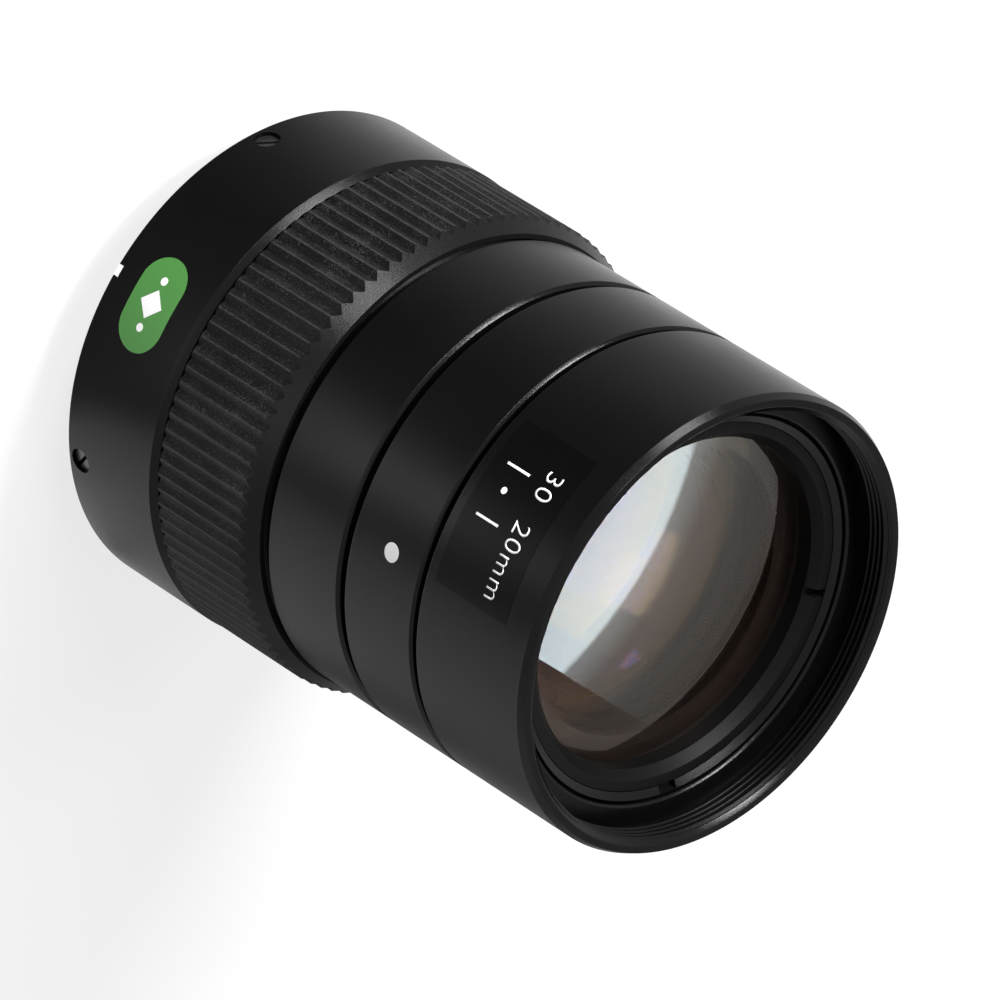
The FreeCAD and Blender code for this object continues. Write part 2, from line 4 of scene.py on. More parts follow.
import bpy
from mathutils import Matrix, Quaternion, Vector


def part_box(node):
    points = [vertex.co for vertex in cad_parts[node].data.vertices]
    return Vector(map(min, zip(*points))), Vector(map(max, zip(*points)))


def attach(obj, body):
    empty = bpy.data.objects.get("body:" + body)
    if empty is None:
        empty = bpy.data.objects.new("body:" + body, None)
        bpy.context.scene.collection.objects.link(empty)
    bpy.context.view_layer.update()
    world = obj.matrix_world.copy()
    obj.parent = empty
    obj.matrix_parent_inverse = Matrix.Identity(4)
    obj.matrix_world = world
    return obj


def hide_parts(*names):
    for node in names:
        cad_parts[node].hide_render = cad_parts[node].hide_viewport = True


bl_info = {
    "name": "Machine Vision Zoom Lens",
    "version": (1, 0, 0),
    "blender": (4, 5, 0),
    "location": "3D View > Sidebar > Lens",
    "description": "Finishes the packed lens with threads, ribs, glass, prints and a small studio",
    "category": "Object",
}

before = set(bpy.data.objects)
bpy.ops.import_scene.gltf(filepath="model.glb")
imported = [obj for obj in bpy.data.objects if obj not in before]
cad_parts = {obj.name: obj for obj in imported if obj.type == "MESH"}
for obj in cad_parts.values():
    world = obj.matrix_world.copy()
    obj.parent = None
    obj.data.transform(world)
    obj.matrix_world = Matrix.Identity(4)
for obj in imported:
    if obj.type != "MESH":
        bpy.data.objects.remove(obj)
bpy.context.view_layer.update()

MM = 0.001
WELD = MM / 1000        # vertices nearer than this are one
STEPS = 256             # facets round a turned piece
SLIP = 0.05             # radial gap of a running or screwed fit, in millimetres


def reach(node):
    """Outer radius, bottom and top of a turned CAD node, in millimetres."""
    low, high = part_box(node)
    return high.x / MM, low.z / MM, high.z / MM


barrel_radius, barrel_start, barrel_end = reach("rear_barrel")
disc_radius, mount_start, disc_end = reach("c_mount_ring")
grip_radius, grip_start, grip_end = reach("focus_grip")
core_radius = reach("focus_core")[0]
sleeve_radius, mid_sleeve_start, mid_sleeve_end = reach("mid_sleeve")
_, index_start, index_end = reach("index_ring")
_, zoom_start, zoom_end = reach("zoom_ring")
cell_radius, cell_start, cell_end = reach("front_cell")
ring_radius, ring_start, ring_end = reach("front_retaining_ring")
cam_radius, _, floor_rear = reach("cam_tube")
tube_radius = 24.55
sleeve_bore = cam_radius + 0.10

# Mouth of the zoom ring, in millimetres
rim_bevel_height = 0.97
rim_bevel_width = 0.46
rim_width = 0.85
mouth_bevel = 0.71
filter_radius = sleeve_radius - 2.07
floor_height = floor_rear + 1.48
relief_height = 1.12
relief_depth = 0.5

# Camera, found from the circles of the photograph
FOCAL_PIXELS = 10051.35
IMAGE_PIXELS = 1000
SENSOR = 36.0
VIEW_TILT = math.radians(50.33816)
VIEW_ROLL = math.radians(32.13856)
CAMERA_PLACE = (0.62 * MM, -860.25 * MM, 754.75 * MM)


def linear(code):
    """Linear colour of an sRGB hex code."""
    parts = [int(code[place:place + 2], 16) / 255 for place in (1, 3, 5)]
    return tuple(part / 12.92 if part <= 0.04045 else ((part + 0.055) / 1.055) ** 2.4 for part in parts)


def length(name, description, default):
    """Length property in millimetres."""
    return bpy.props.FloatProperty(name=name, description=description, default=default)


def tint(name, description, code):
    """Colour property with an sRGB hex code as its default."""
    return bpy.props.FloatVectorProperty(
        name=name, description=description, subtype="COLOR", default=linear(code))


class LensSizes(bpy.types.PropertyGroup):
    """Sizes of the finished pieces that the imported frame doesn't give, in millimetres."""

    filter_pitch: length("Filter thread pitch", "Rise of the filter thread in one turn", 0.75)
    mount_pitch: length("Mount thread pitch", "Rise of the mount thread in one turn", 25.4 / 32)
    edge_break: length("Edge break", "Width of the fine bevel on machined edges", 0.06)
    rib_count: bpy.props.IntProperty(
        name="Grip ribs", description="Ribs round the rubber grip", default=98)
    rib_height: length("Rib height", "Height of a grip rib", 0.54)
    rib_round: length("Rib rounding", "Width of the rounding along a rib", 0.09)
    print_lift: length("Print thickness", "Thickness of labels and printed marks", 0.02)


class LensColours(bpy.types.PropertyGroup):
    """Colours of the finishes."""

    metal: tint("Anodised metal", "Dyed oxide layer on aluminium", "#060606")
    rubber: tint("Rubber", "Moulded grip", "#0f0f0f")
    dust: tint("Dust", "Dust that clings to the rubber", "#484846")
    # Painted highlight: this pale colour stands in for light along the rib crests.
    crest: tint("Rubbed crests", "Rubber that hands have rubbed", "#363636")
    label: tint("Label", "Round-ended label on the barrel", "#3c7b32")
    ink: tint("Ink", "Printed scale and dots", "#f2f2f2")
    film: tint("Scale film", "Film that carries the zoom scale", "#040404")


def scaled(colour, factor):
    """The colour made lighter or darker by a factor, and no lighter than white."""
    return [min(part * factor, 1.0) for part in colour]


def opaque(colour):
    """The colour with an alpha of one."""
    return (*colour, 1.0)


def add_node(tree, kind, inputs=None, **settings):
    """New shader node. Inputs map a socket to a value, or to the output socket that feeds it."""
    made = tree.nodes.new("ShaderNode" + kind)
    for name, value in settings.items():
        setattr(made, name, value)
    for socket, value in (inputs or {}).items():
        if isinstance(value, bpy.types.NodeSocket):
            tree.links.new(value, made.inputs[socket])
        else:
            made.inputs[socket].default_value = value
    return made


def set_ramp(ramp, stops):
    """Gives a colour ramp node its stops, as (position, linear colour), from the lowest to the highest."""
    elements = ramp.color_ramp.elements
    for position, _ in stops[1:-1]:
        elements.new(position)
    for element, (position, colour) in zip(elements, stops):
        element.position = position
        element.color = opaque(colour)


def new_material(name):
    """Empty node material, its tree and the socket of the object's coordinates."""
    material = bpy.data.materials.get(name) or bpy.data.materials.new(name)
    material.use_nodes = True
    material.node_tree.nodes.clear()
    place = add_node(material.node_tree, "TexCoord").outputs["Object"]
    return material, material.node_tree, place


def surface(material, shader):
    """Leads the shader to the material's surface, and returns the material."""
    add_node(material.node_tree, "OutputMaterial", {"Surface": shader.outputs[0]})
    return material


def black_anodised(colours):
    """Bead-blasted aluminium, dyed black in its oxide layer: a fine sparkle over a deep, satin black."""
    return anodised("black_anodised_aluminium", colours, 0.07, 0.8, 0.18)


def turned_edge(colours):
    """The same metal where the lathe's tool left it smooth, on bevels and edges: it catches more light."""
    return anodised("black_anodised_edge", colours, 0.13, 0.7, 0.12)


def anodised(name, colours, shine, coarseness, rough):
    """Black oxide layer on aluminium, with its blasted pits and the trace of a cloth."""
    material, tree, place = new_material(name)
    # The blasted pits are near 0.08 mm and are drawn twice as coarse, so that they show.
    pits = add_node(tree, "TexNoise", {
        "Vector": place, "Scale": 1 / (0.16 * MM), "Detail": 2.0, "Roughness": 0.7})
    # Slow variation of the dye and of the hand that wiped it, over about 12 mm.
    wipe = add_node(tree, "TexNoise", {"Vector": place, "Scale": 1 / (12 * MM), "Detail": 3.0})
    tone = add_node(tree, "ValToRGB", {"Fac": wipe.outputs["Fac"]})
    set_ramp(tone, [(0.3, scaled(colours.metal, 0.8)), (0.75, scaled(colours.metal, 1.25))])
    gloss = add_node(tree, "MapRange", {
        "Value": wipe.outputs["Fac"], "From Min": 0.3, "From Max": 0.7,
        "To Min": rough, "To Max": rough + 0.08})
    bump = add_node(tree, "Bump", {
        "Height": pits.outputs["Fac"], "Strength": coarseness, "Distance": 0.025 * MM})
    shader = add_node(tree, "BsdfPrincipled", {
        "Base Color": tone.outputs["Color"], "Roughness": gloss.outputs["Result"], "IOR": 1.5,
        "Specular IOR Level": shine, "Normal": bump.outputs["Normal"]})
    return surface(material, shader)


def mottled(name, size, detail, tones, looks, strength=0.0, height=0.0):
    """Opaque finish that wavers between two linear tones, and in height, over a size in millimetres."""
    material, tree, place = new_material(name)
    grain = add_node(tree, "TexNoise", {"Vector": place, "Scale": 1 / (size * MM), "Detail": detail})
    tone = add_node(tree, "ValToRGB", {"Fac": grain.outputs["Fac"]})
    set_ramp(tone, list(zip((0.0, 1.0), tones)))
    shader = add_node(tree, "BsdfPrincipled", {"Base Color": tone.outputs["Color"], **looks})
    if strength:
        bump = add_node(tree, "Bump", {
            "Height": grain.outputs["Fac"], "Strength": strength, "Distance": height * MM})
        tree.links.new(bump.outputs["Normal"], shader.inputs["Normal"])
    return surface(material, shader)


def matt_lacquer():
    """Matt black lacquer sprayed over the rings round the front glass, with a fine orange-peel."""
    tones = (linear("#070707"), linear("#0c0c0c"))
    looks = {"Roughness": 0.4, "Specular IOR Level": 0.06}
    return mottled("matt_black_lacquer", 0.25, 2.0, tones, looks, 0.4, 0.02)


def inner_paint(name, dark, light):
    """Matt paint inside the lens, which swallows stray light, between two tones."""
    looks = {"Roughness": 0.55, "Specular IOR Level": 0.12}
    return mottled(name, 0.3, 2.0, (linear(dark), linear(light)), looks)


def brown_reflection_paint():
    """The same paint with a brown cast, where it shows through the front glass: a painted reflection that
    stands in for the brown glow of the inner reflections.
    """
    return inner_paint("matt_brown_reflection_paint", "#120e0c", "#2a211c")


def print_ink(name, colour):
    """Screen printed ink: matt and opaque, with a slightly uneven layer."""
    return mottled(name, 0.25, 2.0, (scaled(colour, 0.92), scaled(colour, 1.06)), {"Roughness": 0.5})


def black_oxide():
    """Hardened steel screw, blackened in a hot salt bath: a thin, slightly shiny black."""
    tones = (linear("#1d1d1f"), linear("#38383a"))
    return mottled("black_oxide_steel", 0.6, 3.0, tones, {"Metallic": 0.6, "Roughness": 0.35})


def grip_rubber(colours):
    """Moulded rubber: a deep matt black, with a painted highlight along the crests, and dust between the
    ribs.
    """
    material, tree, place = new_material("moulded_rubber")
    parts = add_node(tree, "SeparateXYZ", {"Vector": place})
    grain = add_node(tree, "TexNoise", {
        "Vector": place, "Scale": 1 / (0.15 * MM), "Detail": 3.0, "Roughness": 0.7})
    # Specks of dust near 0.13 mm, in drifts some 4 mm wide, and hardly any where the ribs run out.
    dust = add_node(tree, "TexNoise", {"Vector": place, "Scale": 1 / (0.13 * MM), "Detail": 1.0})
    drift = add_node(tree, "TexNoise", {"Vector": place, "Scale": 1 / (4.0 * MM), "Detail": 2.0})
    amount = add_node(tree, "MapRange", {
        "Value": drift.outputs["Fac"], "From Min": 0.35, "From Max": 0.7, "To Min": -0.03, "To Max": 0.07})
    cleaned = add_node(tree, "MapRange", {
        "Value": parts.outputs["Z"], "From Min": (grip_end - 2.4) * MM, "From Max": (grip_end - 1.4) * MM,
        "To Min": 0.0, "To Max": -0.16})
    spread = add_node(tree, "Math", {
        0: amount.outputs["Result"], 1: cleaned.outputs["Result"]}, operation="ADD")
    lying = add_node(tree, "Math", {0: dust.outputs["Fac"], 1: spread.outputs[0]}, operation="ADD")
    specks = add_node(tree, "ValToRGB", {"Fac": lying.outputs[0]})
    set_ramp(specks, [(0.58, colours.rubber), (0.78, colours.dust)])
    # Painted highlight: the crests are painted pale in a line some 0.15 mm wide, which breaks up over half
    # a millimetre.
    flat = add_node(tree, "CombineXYZ", {"X": parts.outputs["X"], "Y": parts.outputs["Y"]})
    radius = add_node(tree, "VectorMath", {0: flat.outputs["Vector"]}, operation="LENGTH")
    crest = add_node(tree, "MapRange", {
        "Value": radius.outputs["Value"],
        "From Min": (grip_radius - 0.10) * MM, "From Max": (grip_radius - 0.03) * MM})
    broken = add_node(tree, "TexNoise", {"Vector": place, "Scale": 1 / (0.5 * MM), "Detail": 2.0})
    patchy = add_node(tree, "MapRange", {
        "Value": broken.outputs["Fac"], "From Min": 0.3, "From Max": 0.6, "To Min": 0.35, "To Max": 1.0})
    painted_crest_highlight = add_node(tree, "Math", {
        0: crest.outputs["Result"], 1: patchy.outputs["Result"]}, operation="MULTIPLY")
    tone = add_node(tree, "Mix", {
        0: painted_crest_highlight.outputs[0], 6: specks.outputs["Color"], 7: opaque(colours.crest)}, data_type="RGBA")
    bump = add_node(tree, "Bump", {"Height": grain.outputs["Fac"], "Strength": 0.4, "Distance": 0.03 * MM})
    shader = add_node(tree, "BsdfPrincipled", {
        "Base Color": tone.outputs[2], "Roughness": 0.42, "Specular IOR Level": 0.05,
        "Normal": bump.outputs["Normal"]})
    return surface(material, shader)


def smooth_rubber(colours):
    """The same rubber on the cone before the ribs, where the mould was polished: cleaner and shinier."""
    material, tree, place = new_material("moulded_rubber_smooth")
    grain = add_node(tree, "TexNoise", {
        "Vector": place, "Scale": 1 / (0.2 * MM), "Detail": 3.0, "Roughness": 0.7})
    tone = add_node(tree, "ValToRGB", {"Fac": grain.outputs["Fac"]})
    set_ramp(tone, [(0.3, scaled(colours.rubber, 0.45)), (0.7, scaled(colours.rubber, 1.2))])
    bump = add_node(tree, "Bump", {"Height": grain.outputs["Fac"], "Strength": 0.5, "Distance": 0.03 * MM})
    shader = add_node(tree, "BsdfPrincipled", {
        "Base Color": tone.outputs["Color"], "Roughness": 0.22, "Specular IOR Level": 0.12,
        "Normal": bump.outputs["Normal"]})
    return surface(material, shader)


def polished_glass(name, tone, bend, layer, layer_bend):
    """Polished glass of a refractive index, under one clear layer of a thickness in nanometres."""
    material, tree, _ = new_material(name)
    shader = add_node(tree, "BsdfPrincipled", {
        "Base Color": opaque(linear(tone)), "Roughness": 0.0, "IOR": bend, "Transmission Weight": 1.0,
        "Thin Film Thickness": layer, "Thin Film IOR": layer_bend})
    return surface(material, shader)


def coated_glass():
    """Crown glass under magnesium fluoride, which halves its reflection and leaves a trace of brown."""
    return polished_glass("coated_front_glass", "#f8f4f1", 1.52, 98.0, 1.38)


def inner_glass():
    """Glass under a porous coating, which leaves next to no reflection, and that a dull violet."""
    return polished_glass("coated_inner_glass", "#faf6f3", 1.4, 145.0, 1.18)


def ground_steel():
    """Ground steel pins: bright, with a gloss that the grinding left uneven."""
    material, tree, place = new_material("ground_steel")
    grind = add_node(tree, "TexNoise", {"Vector": place, "Scale": 1 / (0.15 * MM), "Detail": 2.0})
    gloss = add_node(tree, "MapRange", {"Value": grind.outputs["Fac"], "To Min": 0.2, "To Max": 0.4})
    shader = add_node(tree, "BsdfPrincipled", {
        "Base Color": opaque(linear("#a9a9ad")), "Metallic": 1.0, "Roughness": gloss.outputs["Result"]})
    return surface(material, shader)


def scale_film(colours):
    """Printed polyester film, a little smoother and deeper than the metal under it."""
    material, tree, place = new_material("scale_film")
    ripple = add_node(tree, "TexNoise", {"Vector": place, "Scale": 1 / (0.3 * MM), "Detail": 2.0})
    gloss = add_node(tree, "MapRange", {"Value": ripple.outputs["Fac"], "To Min": 0.26, "To Max": 0.34})
    bump = add_node(tree, "Bump", {
        "Height": ripple.outputs["Fac"], "Strength": 0.15, "Distance": 0.01 * MM})
    shader = add_node(tree, "BsdfPrincipled", {
        "Base Color": opaque(colours.film), "Roughness": gloss.outputs["Result"],
        "Specular IOR Level": 0.05, "Normal": bump.outputs["Normal"]})
    return surface(material, shader)


def deselect():
    """Leaves nothing selected, because an operator acts on all that is."""
    bpy.ops.object.select_all(action="DESELECT")


def choose(piece):
    """Makes the piece the only one selected, and active."""
    deselect()
    piece.select_set(True)
    bpy.context.view_layer.objects.active = piece


@contextmanager
def editing(action=None):
    """Edit mode for the active mesh. The action SELECT or DESELECT first acts on all of it."""
    bpy.ops.object.mode_set(mode="EDIT")
    if action:
        bpy.ops.mesh.select_all(action=action)
    yield
    bpy.ops.object.mode_set(mode="OBJECT")


def modify(piece, kind, **settings):
    """Gives the piece a modifier with its settings, and applies it."""
    choose(piece)
    modifier = piece.modifiers.new(kind.lower(), kind)
    for name, value in settings.items():
        setattr(modifier, name, value)
    bpy.ops.object.modifier_apply(modifier=modifier.name)


def draw_outline(corners):
    """Wire in the XZ plane through (radius, height) corners in millimetres, extruded corner by corner."""
    deselect()
    radius, height = corners[0]
    bpy.ops.mesh.primitive_plane_add(size=MM, location=(radius * MM, 0, height * MM))
    bpy.ops.object.transform_apply(location=True)
    with editing():
        bpy.ops.mesh.merge(type="CENTER")
        for (radius, height), (next_radius, next_height) in zip(corners, corners[1:]):
            step = ((next_radius - radius) * MM, 0, (next_height - height) * MM)
            bpy.ops.mesh.extrude_vertices_move(TRANSFORM_OT_translate={"value": step})
        bpy.ops.mesh.select_all(action="SELECT")
        bpy.ops.mesh.remove_doubles(threshold=WELD)
    return bpy.context.object


def turned(corners, edge=0.0):
    """Turned solid: the closed outline is spun about the optical axis and its edges are broken."""
    piece = draw_outline(corners + corners[:1])
    with editing("SELECT"):
        bpy.ops.mesh.spin(steps=STEPS, angle=math.tau, center=(0, 0, 0), axis=(0, 0, 1))
        bpy.ops.mesh.select_all(action="SELECT")
        bpy.ops.mesh.remove_doubles(threshold=WELD)
        bpy.ops.mesh.normals_make_consistent(inside=False)
    if edge:
        modify(piece, "BEVEL", width=edge * MM, segments=2, limit_method="ANGLE",
               angle_limit=math.radians(20))
    return piece


def cut(piece, tool, operation="DIFFERENCE"):
    """Takes the tool's volume out of the piece, or does another operation with it, and deletes the tool."""
    modify(piece, "BOOLEAN", operation=operation, solver="EXACT", object=tool)
    discard(tool)


def discard(tool):
    """Deletes a cutter or former after use."""
    choose(tool)
    bpy.ops.object.delete()


def smooth(piece, angle=25.0, weighted=True):
    """Smooth shading up to the angle, with wide faces kept true beside fine bevels."""
    choose(piece)
    bpy.ops.object.shade_smooth_by_angle(angle=math.radians(angle))
    if weighted:
        modify(piece, "WEIGHTED_NORMAL", keep_sharp=True)


def settle(piece, name, material, nodes=(), body="barrel"):
    """Names the finished piece, gives it its material and sets it on its body in place of its CAD nodes."""
    piece.name = name
    piece.data.name = name
    if not piece.data.materials:
        piece.data.materials.append(material)
    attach(piece, body)
    if nodes:
        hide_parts(*nodes)


def dress(piece, wall, edge):
    """Gives walls and flat faces one finish, and the bevels and flanks between them another."""
    piece.data.materials.append(wall)
    piece.data.materials.append(edge)
    upright, level = 0.12, 0.98
    for face in piece.data.polygons:
        face.material_index = int(upright < abs(face.normal.z) < level)


def finish_metal(piece, node, body="barrel"):
    """Finishes a turned piece in blasted metal with smooth edges, in place of its CAD node."""
    colours = bpy.context.scene.lens_colours
    metal = black_anodised(colours)
    smooth(piece)
    dress(piece, metal, turned_edge(colours))
    settle(piece, node + "_finished", metal, [node], body)


def turn(piece, angle):
    """Turns the piece about the optical axis and applies the turn, in degrees."""
    choose(piece)
    piece.rotation_euler = (0, 0, math.radians(angle))
    bpy.ops.object.transform_apply(rotation=True)
    return piece


def radial_cylinder(radius, inner, outer, height, angle):
    """Round cutter that points outwards at an angle about the axis."""
    deselect()
    bpy.ops.mesh.primitive_cylinder_add(
        vertices=48, radius=radius * MM, depth=(outer - inner) * MM,
        location=((inner + outer) / 2 * MM, 0, height * MM), rotation=(0, math.pi / 2, 0))
    bpy.ops.object.transform_apply()
    return turn(bpy.context.object, angle)


def notch(piece, angle, width, inner, outer, depth, top):
    """Cuts a notch into the top of a ring at an angle about the axis, and another opposite it."""
    bottom, over = top - depth, top + 1
    for side in (angle, angle + 180.0):
        deselect()
        middle = ((inner + outer) / 2 * MM, 0, (bottom + over) / 2 * MM)
        bpy.ops.mesh.primitive_cube_add(size=1, location=middle)
        bpy.context.object.scale = ((outer - inner) * MM, width * MM, (over - bottom) * MM)
        bpy.ops.object.transform_apply()
        cut(piece, turn(bpy.context.object, side))


def thread_cutter(profile, pitch, bottom, top):
    """Helical cutter: a groove's (radius, half width) corners, screwed up from bottom to top."""
    low = [(radius, bottom - half) for radius, half in profile]
    high = [(radius, bottom + half) for radius, half in reversed(profile)]
    cutter = draw_outline(low + high + low[:1])
    modify(cutter, "SCREW", axis="Z", angle=math.tau, screw_offset=pitch * MM,
           iterations=math.ceil((top - bottom) / pitch), steps=STEPS, render_steps=STEPS,
           use_merge_vertices=True, merge_threshold=WELD)
    with editing("SELECT"):
        bpy.ops.mesh.fill_holes(sides=len(profile) * 2)
        bpy.ops.mesh.normals_make_consistent(inside=False)
    return cutter


def groove_profile(crest, root, reach_past, pitch):
    """Sixty degree groove between a thread's crest and root radius, opened past the crest."""
    depth = abs(root - crest)
    side = math.tan(math.radians(30))
    root_half = pitch / 16
    past = crest + math.copysign(reach_past, crest - root)
    return [(past, root_half + (depth + reach_past) * side), (root, root_half)]


def arc(start, end, sag, count=28):
    """Points of an arc from start to end, both (radius, height), with a rise that is positive upwards."""
    (r0, z0), (r1, z1) = start, end
    clear = max(r0, r1)
    sphere = (clear ** 2 + sag ** 2) / (2 * abs(sag))
    rim = z0 if r0 == clear else z1
    points = []
    for place in range(count + 1):
        radius = r0 + (r1 - r0) * place / count
        rise = math.sqrt(sphere ** 2 - radius ** 2) - (sphere - abs(sag))
        points.append((radius, rim + math.copysign(rise, sag)))
    return points


def arc_corner(radius, bottom, size, count=5):
    """Points of a rounded lower outer corner, as (radius, height), from its bottom to its side."""
    turns = [math.pi / 2 * place / count for place in range(count + 1)]
    return [(radius - size + size * math.sin(turn), bottom + size - size * math.cos(turn))
            for turn in turns]


class LENS_OT_barrel(bpy.types.Operator):
    """Rear barrel with its screw holes"""

    bl_idname = "lens.barrel"
    bl_label = "Rear barrel"

    def execute(self, context):
        sizes = context.scene.lens_sizes
        shoulder = disc_end + SLIP
        chamfer = 0.76
        fine = 0.15
        piece = turned([
            (disc_radius + SLIP, barrel_start),
            (barrel_radius - fine, barrel_start),
            (barrel_radius, barrel_start + fine),
            (barrel_radius, barrel_end - chamfer),
            (barrel_radius - chamfer, barrel_end),
            (tube_radius + SLIP, barrel_end),
            (tube_radius + SLIP, shoulder),
            (disc_radius + SLIP, shoulder)], sizes.edge_break)
        for angle in screw_angles:
            hole = radial_cylinder(screw_hole, disc_radius - 1, barrel_radius + 1, screw_height, angle)
            cut(piece, hole)
        finish_metal(piece, "rear_barrel")
        return {"FINISHED"}


# Set screws of the rear barrel, in millimetres and degrees
screw_hole = 1.5
screw_height = barrel_start + 2.14
screw_angles = [-132.0 + 90.0 * place for place in range(4)]


class LENS_OT_mount(bpy.types.Operator):
    """Mount ring with its flange and its 32 per inch thread"""

    bl_idname = "lens.mount"
    bl_label = "Mount ring"

    def execute(self, context):
        sizes = context.scene.lens_sizes
        thread = 12.70
        root = thread - 0.6134 * sizes.mount_pitch
        relief = 0.6
        flange = 15.5
        glass_bore = 11.15
        lip = 9.7
        seat = mount_start + 4.5
        groove = 0.9
        throat = 1.2
        chamfer = 0.3
        flange_gap = 0.3
        pocket_radius, pocket_depth = 16.0, 2.5
        piece = turned([
            (glass_bore, mount_start),
            (thread - chamfer, mount_start),
            (thread, mount_start + chamfer),
            (thread, -relief),
            (root, -relief),
            (root, 0.0),
            (flange, 0.0),
            (flange, barrel_start + flange_gap),
            (disc_radius, barrel_start + flange_gap),
            (disc_radius, screw_height - groove),
            (disc_radius - groove, screw_height),
            (disc_radius, screw_height + groove),
            (disc_radius, disc_end),
            (pocket_radius, disc_end),
            (pocket_radius, disc_end - pocket_depth),
            (lip, seat + throat),
            (lip, seat),
            (glass_bore, seat)], sizes.edge_break)
        profile = groove_profile(thread, root, 0.1, sizes.mount_pitch)
        cut(piece, thread_cutter(profile, sizes.mount_pitch, mount_start - sizes.mount_pitch, -relief))
        smooth(piece)
        metal = black_anodised(context.scene.lens_colours)
        settle(piece, "mount_ring_finished", metal, ["c_mount_ring"])
        return {"FINISHED"}


class LENS_OT_grip(bpy.types.Operator):
    """Rubber grip: one star of ribs, extruded, rounded and run out on a cone"""

    bl_idname = "lens.grip"
    bl_label = "Rubber grip"

    def execute(self, context):
        sizes = context.scene.lens_sizes
        lip_drop = 1.43
        cone = math.radians(34.4)
        deselect()
        bpy.ops.mesh.primitive_circle_add(
            vertices=2 * sizes.rib_count, radius=grip_radius * MM, fill_type="NGON",
            location=(0, 0, grip_start * MM))
        piece = bpy.context.object
        bpy.ops.object.transform_apply(location=True)
        with editing("DESELECT"):
            pass
        for vertex in piece.data.vertices:
            turns = math.atan2(vertex.co.y, vertex.co.x) / math.tau * sizes.rib_count
            vertex.select = abs(turns - round(turns)) > 0.25
        valley = (grip_radius - sizes.rib_height) / grip_radius
        with editing():
            bpy.ops.transform.resize(value=(valley, valley, 1), center_override=(0, 0, grip_start * MM))
            bpy.ops.mesh.select_all(action="SELECT")
            bpy.ops.mesh.extrude_region_move(
                TRANSFORM_OT_translate={"value": (0, 0, (grip_end - grip_start) * MM)})
            bpy.ops.mesh.select_all(action="SELECT")
            bpy.ops.mesh.normals_make_consistent(inside=False)
            bpy.ops.mesh.select_all(action="DESELECT")
        for edge in piece.data.edges:
            one, two = (piece.data.vertices[corner].co for corner in edge.vertices)
            edge.select = abs(one.z - two.z) > MM
        with editing():
            bpy.ops.mesh.bevel(offset=sizes.rib_round * MM, segments=3, affect="EDGES")
        over = grip_radius + 0.5
        lip = grip_radius - lip_drop
        bore = core_radius + SLIP
        inset = 0.001
        low, high = grip_start + inset, grip_end - inset
        rear = arc_corner(grip_radius + 2 * inset, low, 0.5)
        envelope = turned([
            (bore, low), *rear, (over, grip_start + 0.6),
            (over, grip_end - (over - lip) / math.tan(cone)), (lip, high), (bore, high)])
        cut(piece, envelope, "INTERSECT")
        smooth(piece, 30.0, False)
        colours = context.scene.lens_colours
        rubber = grip_rubber(colours)
        piece.data.materials.append(rubber)
        piece.data.materials.append(smooth_rubber(colours))
        steep, shallow = 0.4, 0.7
        for face in piece.data.polygons:
            face.material_index = int(steep < face.normal.z < shallow)
        settle(piece, "focus_grip_finished", rubber, ["focus_grip"], "focus_ring")
        return {"FINISHED"}


class LENS_OT_sleeves(bpy.types.Operator):
    """The two fixed sleeves between the grip and the zoom ring"""

    bl_idname = "lens.sleeves"
    bl_label = "Fixed sleeves"

    def execute(self, context):
        edge = context.scene.lens_sizes.edge_break
        fine = 0.15
        sleeves = [
            ("mid_sleeve", mid_sleeve_start, mid_sleeve_end, 0.39),
            ("index_ring", index_start, index_end, 0.34)]
        for node, start, end, chamfer in sleeves:
            piece = turned([
                (sleeve_bore, start),
                (sleeve_radius - fine, start),
                (sleeve_radius, start + fine),
                (sleeve_radius, end - chamfer),
                (sleeve_radius - chamfer, end),
                (sleeve_bore, end)], edge)
            finish_metal(piece, node)
        return {"FINISHED"}


class LENS_OT_zoom_ring(bpy.types.Operator):
    """Front barrel with its bevelled mouth and filter thread"""

    bl_idname = "lens.zoom_ring"
    bl_label = "Zoom ring"

    def execute(self, context):
        sizes = context.scene.lens_sizes
        fine = 0.15
        rim_outer = sleeve_radius - rim_bevel_width
        rim_inner = rim_outer - rim_width
        thread_end = floor_height + relief_height
        floor_edge = cell_radius + 0.2
        floor_chamfer = 0.25
        piece = turned([
            (cam_radius + SLIP, zoom_start),
            (sleeve_radius - fine, zoom_start),
            (sleeve_radius, zoom_start + fine),
            (sleeve_radius, zoom_end - rim_bevel_height),
            (rim_outer, zoom_end),
            (rim_inner, zoom_end),
            (filter_radius, zoom_end - mouth_bevel),
            (filter_radius, thread_end),
            (filter_radius + relief_depth, thread_end),
            (filter_radius + relief_depth, floor_height),
            (floor_edge + floor_chamfer, floor_height),
            (floor_edge, floor_height - floor_chamfer),
            (floor_edge, floor_rear),
            (cam_radius + SLIP, floor_rear)], sizes.edge_break)
        root = filter_radius + 0.5413 * sizes.filter_pitch
        profile = groove_profile(filter_radius, root, 0.08, sizes.filter_pitch)
        thread_start = thread_end - 0.5 * sizes.filter_pitch
        cut(piece, thread_cutter(profile, sizes.filter_pitch, thread_start, zoom_end))
        finish_metal(piece, "zoom_ring", "zoom_ring")
        return {"FINISHED"}


